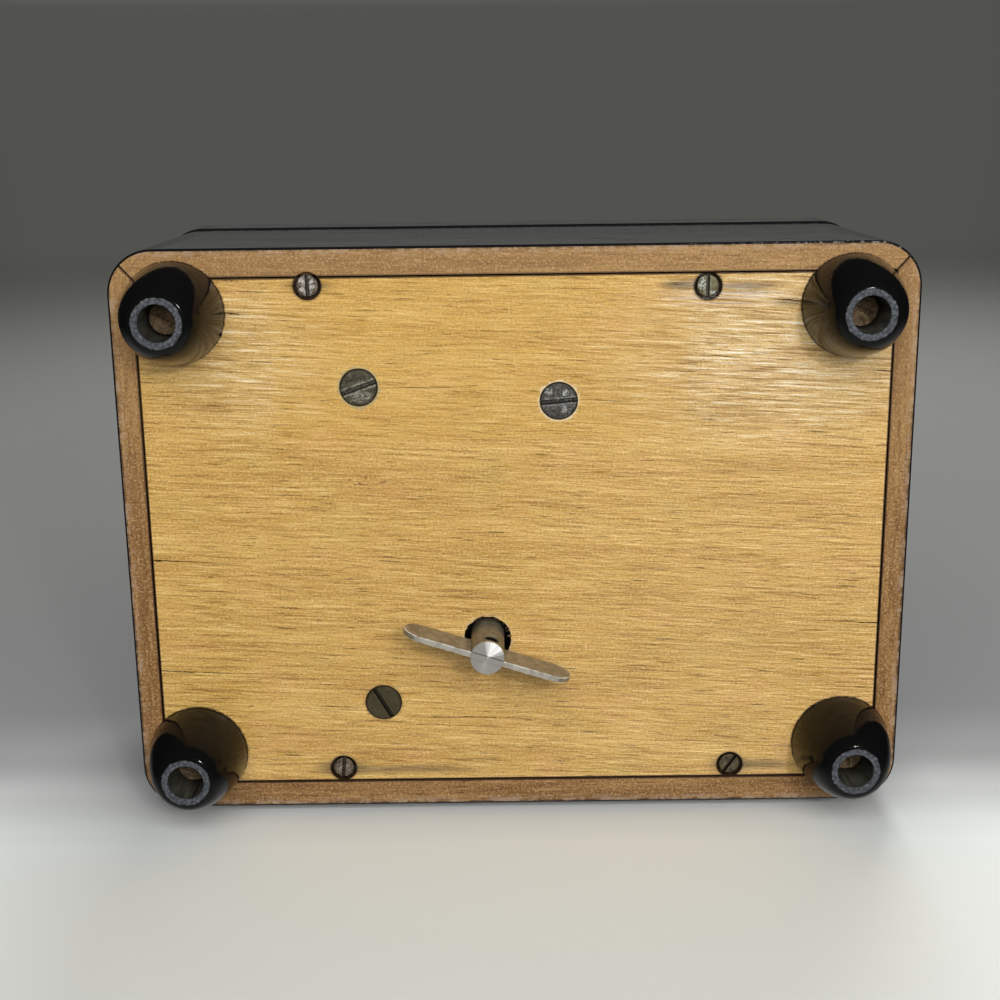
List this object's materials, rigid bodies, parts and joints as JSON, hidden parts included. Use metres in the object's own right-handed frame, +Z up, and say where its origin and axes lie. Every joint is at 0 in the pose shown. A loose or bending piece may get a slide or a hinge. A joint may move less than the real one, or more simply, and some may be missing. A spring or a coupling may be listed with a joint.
{
  "type": "music box",
  "caption": "Wooden music box with a black lacquered case, turned feet, a hinged lid, a lined tray and a cylinder movement wound by a key underneath.",
  "frame": {"origin": "on the ground, in the middle of the overall box, hinge knuckles included", "axes": "+Z up, standing on the feet; +X along the long side; -Y at the front, the hinges are at +Y"},
  "size_m": [0.15, 0.1124, 0.0772],
  "materials": {
    "black_lacquer": "black gloss lacquer over wood",
    "plywood": "clear varnish",
    "pale_wood": "bare",
    "velvet": "short pile",
    "nickel": "worn nickel plate",
    "screw_steel": "dull, spots of rust",
    "steel": "ground",
    "brass": "plain",
    "cast_zinc": "as cast"
  },
  "bodies": {
    "case": {"side_front": "black_lacquer", "side_right": "black_lacquer", "side_back": "black_lacquer", "side_left": "black_lacquer", "bottom_panel": "plywood", "foot_front_left": "black_lacquer", "foot_front_right": "black_lacquer", "foot_back_left": "black_lacquer", "foot_back_right": "black_lacquer", "foot_screw_front_left": "screw_steel", "foot_screw_front_right": "screw_steel", "foot_screw_back_left": "screw_steel", "foot_screw_back_right": "screw_steel", "panel_screw_1": "screw_steel", "panel_screw_2": "screw_steel", "panel_screw_3": "screw_steel", "panel_screw_4": "screw_steel", "movement_screw_1": "screw_steel", "movement_screw_2": "screw_steel", "movement_screw_3": "screw_steel", "cleat_front": "pale_wood", "cleat_back": "pale_wood", "hinge_left_case_leaf": "brass", "hinge_right_case_leaf": "brass", "hinge_left_pin": "steel", "hinge_right_pin": "steel", "tray_ledge_left": "pale_wood", "tray_ledge_right": "pale_wood", "tray_floor": "velvet", "tray_divider": "velvet", "bedplate": "cast_zinc", "barrel_bridge": "brass", "governor_frame": "brass", "comb": "steel", "comb_screw_1": "steel", "comb_screw_2": "steel", "click_spring": "steel"},
    "lid": {"lid_front": "black_lacquer", "lid_right": "black_lacquer", "lid_back": "black_lacquer", "lid_left": "black_lacquer", "lid_top": "black_lacquer", "lid_lining": "velvet", "hinge_left_lid_leaf": "brass", "hinge_right_lid_leaf": "brass"},
    "winding": {"key_stem": "nickel", "key_wing": "nickel", "winding_arbor": "steel", "ratchet_wheel": "steel"},
    "click": {"click": "steel"},
    "barrel": {"barrel": "brass", "barrel_cover": "brass", "mainspring": "steel"},
    "cylinder": {"cylinder": "brass", "cylinder_arbor": "steel", "cylinder_wheel": "brass"},
    "second": {"second_wheel": "brass"},
    "fly": {"fly": "steel"},
    "stop_lever": {"stop_lever": "steel"},
    "stop_rod": {"stop_rod": "steel"}
  },
  "joints": [
    {"name": "lid_hinge", "type": "hinge", "parent": "case", "child": "lid", "pos_m": [0, 0.05485, 0.06435], "axis": [-1, 0, 0], "range_deg": [0, 100]},
    {"name": "winding_turn", "type": "hinge", "parent": "case", "child": "winding", "pos_m": [-0.0059, 0.01985, 0.0194], "axis": [0, 0, 1], "continuous": true},
    {"name": "click_swing", "type": "hinge", "parent": "case", "child": "click", "pos_m": [0.0023, 0.01285, 0.0236], "axis": [0, 0, -1], "range_deg": [0, 12], "stiffness_Nm_per_rad": 0.002},
    {"name": "cylinder_turn", "type": "hinge", "parent": "case", "child": "cylinder", "pos_m": [-0.0059, -0.00885, 0.03902], "axis": [0, 1, 0], "continuous": true},
    {"name": "barrel_turn", "type": "hinge", "parent": "case", "child": "barrel", "pos_m": [-0.0059, 0.01985, 0.03], "axis": [0, 0, 1], "continuous": true},
    {"name": "second_turn", "type": "hinge", "parent": "case", "child": "second", "pos_m": [0.00086, -0.02685, 0.03429], "axis": [0, 1, 0], "continuous": true},
    {"name": "fly_turn", "type": "hinge", "parent": "case", "child": "fly", "pos_m": [0.00588, -0.02505, 0.036], "axis": [0, 0, 1], "continuous": true},
    {"name": "stop_lever_tilt", "type": "hinge", "parent": "case", "child": "stop_lever", "pos_m": [0.011, -0.00485, 0.03754], "axis": [1, 0, 0], "range_deg": [0, 4]},
    {"name": "stop_rod_slide", "type": "slide", "parent": "case", "child": "stop_rod", "axis": [0, 0, 1], "range_m": [0, 0.00084]}
  ],
  "couplings": [
    {"joint": "barrel_turn", "follows": "cylinder_turn", "ratio": -0.25},
    {"joint": "second_turn", "follows": "cylinder_turn", "ratio": -4},
    {"joint": "fly_turn", "follows": "cylinder_turn", "ratio": -80},
    {"joint": "stop_lever_tilt", "follows": "lid_hinge", "ratio": 0.04},
    {"joint": "stop_rod_slide", "follows": "lid_hinge", "m_per_rad": 0.00048}
  ]
}
